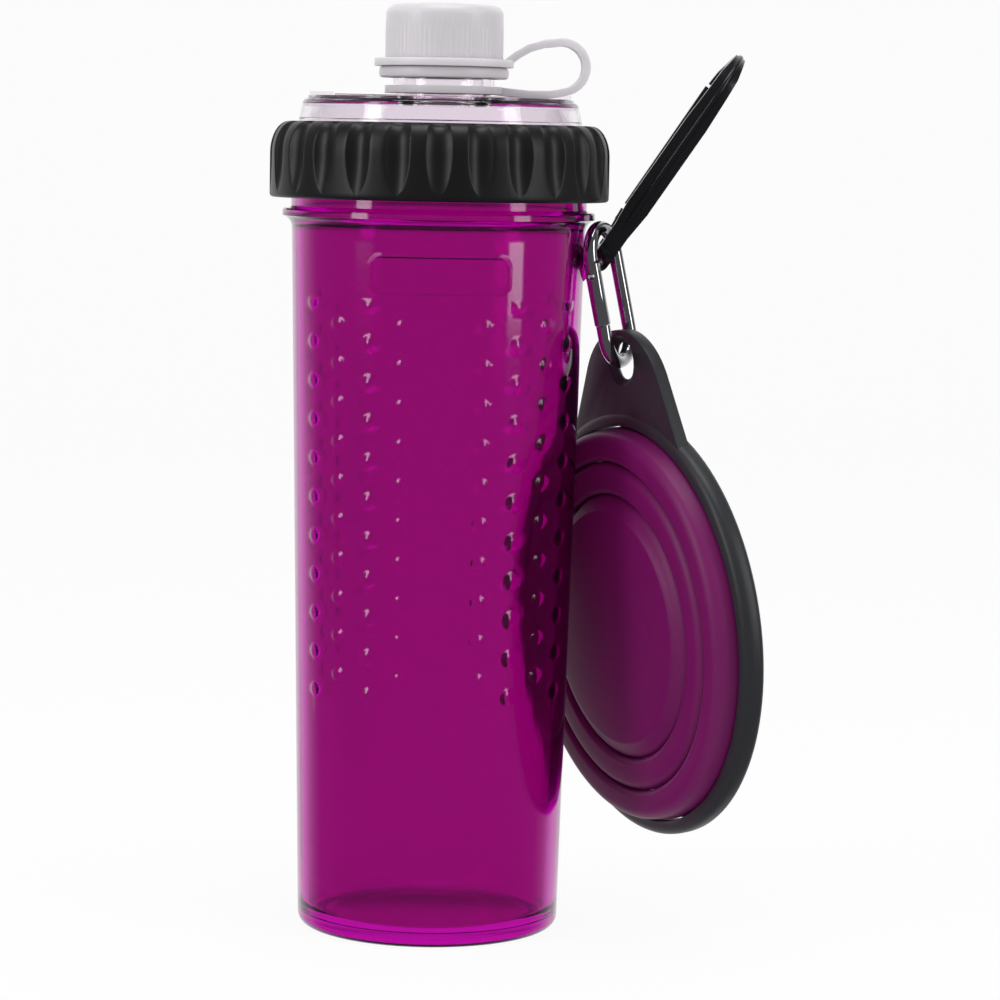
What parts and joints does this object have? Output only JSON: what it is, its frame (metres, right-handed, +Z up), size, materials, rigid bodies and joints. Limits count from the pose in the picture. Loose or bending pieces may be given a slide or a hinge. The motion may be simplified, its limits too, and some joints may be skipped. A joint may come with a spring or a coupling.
{
  "type": "dog travel water bottle",
  "caption": "Clear travel water bottle with screw collar, capped spout, fill door and a collapsible bowl hanging from a carry clip by a carabiner.",
  "frame": {"origin": "centre of the bottle's base, on the surface it stands on", "axes": "+Z up along the bottle's axis, -Y toward the side with the spout and the blank plate, +X toward the carry clip and the bowl"},
  "size_m": [0.1296, 0.1015, 0.2433],
  "materials": {
    "body_magenta": "clear, gloss",
    "collar_black": "fine matt",
    "lid_clear": "clear, gloss",
    "door_rose": "clear, gloss",
    "cap_milky": "translucent, satin",
    "strap_milky": "translucent, satin",
    "clip_black": "satin",
    "chrome": "polished",
    "steel": "bright",
    "bowl_rim_black": "satin",
    "bowl_magenta": "satin",
    "seal_white": "matt"
  },
  "bodies": {
    "bottle": {"bottle_body": "body_magenta", "neck_seal": "seal_white", "clip_hinge_pin": "steel", "clip_pin_washer": "steel"},
    "collar": {"screw_collar": "collar_black"},
    "lid": {"lid_shell": "lid_clear", "door_hinge_pin": "steel"},
    "door": {"lid_door": "door_rose", "door_seal": "seal_white"},
    "strap": {"cap_strap": "strap_milky"},
    "cap": {"spout_cap": "cap_milky", "cap_liner": "seal_white"},
    "clip": {"clip_frame": "clip_black", "clip_gate_pin": "steel"},
    "clip_gate": {"clip_gate": "clip_black", "clip_gate_spring": "steel"},
    "carabiner": {"carabiner_frame": "chrome", "carabiner_rivet": "steel"},
    "carabiner_gate": {"carabiner_gate": "chrome", "carabiner_spring": "steel"},
    "bowl": {"bowl_rim": "bowl_rim_black", "bowl_outer_wall": "bowl_magenta"},
    "bowl_middle": {"bowl_middle_wall": "bowl_magenta"},
    "bowl_cup": {"bowl_base": "bowl_magenta"}
  },
  "joints": [
    {"name": "lid_lift", "type": "slide", "parent": "bottle", "child": "lid", "axis": [0, 0, 1], "range_m": [0, 0.0075]},
    {"name": "collar_turn", "type": "hinge", "parent": "lid", "child": "collar", "pos_m": [0, 0, 0.2028], "axis": [0, 0, 1], "range_deg": [0, 540]},
    {"name": "door_hinge", "type": "hinge", "parent": "lid", "child": "door", "pos_m": [-0.00013, 0.0022, 0.2191], "axis": [0.9983, 0.0576, 0], "range_deg": [0, 95]},
    {"name": "cap_lift", "type": "slide", "parent": "lid", "child": "strap", "axis": [0, 0, 1], "range_m": [0, 0.0048], "deforming": ["cap_strap"]},
    {"name": "cap_turn", "type": "hinge", "parent": "strap", "child": "cap", "pos_m": [0.00101, -0.01747, 0.235], "axis": [0, 0, 1], "range_deg": [0, 540]},
    {"name": "clip_swing", "type": "hinge", "parent": "bottle", "child": "clip", "pos_m": [0.0423, 0, 0.1774], "axis": [0, 1, 0], "range_deg": [-2, 58]},
    {"name": "clip_gate_open", "type": "hinge", "parent": "clip", "child": "clip_gate", "pos_m": [0.04918, 0.00838, 0.18772], "axis": [0.832, 0, -0.5548], "range_deg": [0, 20], "stiffness_Nm_per_rad": 0.02, "springref_deg": -11.46},
    {"name": "carabiner_hang", "type": "hinge", "parent": "clip", "child": "carabiner", "pos_m": [0.0421, -0.0072, 0.1844], "axis": [0, 1, 0], "range_deg": [-58, 2]},
    {"name": "carabiner_gate_open", "type": "hinge", "parent": "carabiner", "child": "carabiner_gate", "pos_m": [0.04034, -0.01289, 0.17588], "axis": [0.8801, -0.4582, 0.1244], "range_deg": [0, 25], "stiffness_Nm_per_rad": 0.01, "springref_deg": -11.46},
    {"name": "bowl_open", "type": "slide", "parent": "bowl", "child": "bowl_cup", "axis": [-0.8793, -0.4675, -0.0906], "range_m": [0, 0.018]},
    {"name": "bowl_middle_open", "type": "slide", "parent": "bowl", "child": "bowl_middle", "axis": [-0.8793, -0.4675, -0.0906], "range_m": [0, 0.009]},
    {"name": "bowl_swing", "type": "hinge", "parent": "carabiner", "child": "bowl", "pos_m": [0.04895, -0.00293, 0.15163], "axis": [-0.4291, -0.8798, -0.2045], "range_deg": [0, 24]}
  ],
  "couplings": [
    {"joint": "lid_lift", "follows": "collar_turn", "m_per_rad": 0.00079577},
    {"joint": "cap_lift", "follows": "cap_turn", "m_per_rad": 0.00050929},
    {"joint": "carabiner_hang", "follows": "clip_swing", "ratio": -1},
    {"joint": "bowl_middle_open", "follows": "bowl_open", "ratio": 0.5},
    {"joint": "bowl_swing", "follows": "bowl_open", "rad_per_m": 23.271}
  ]
}
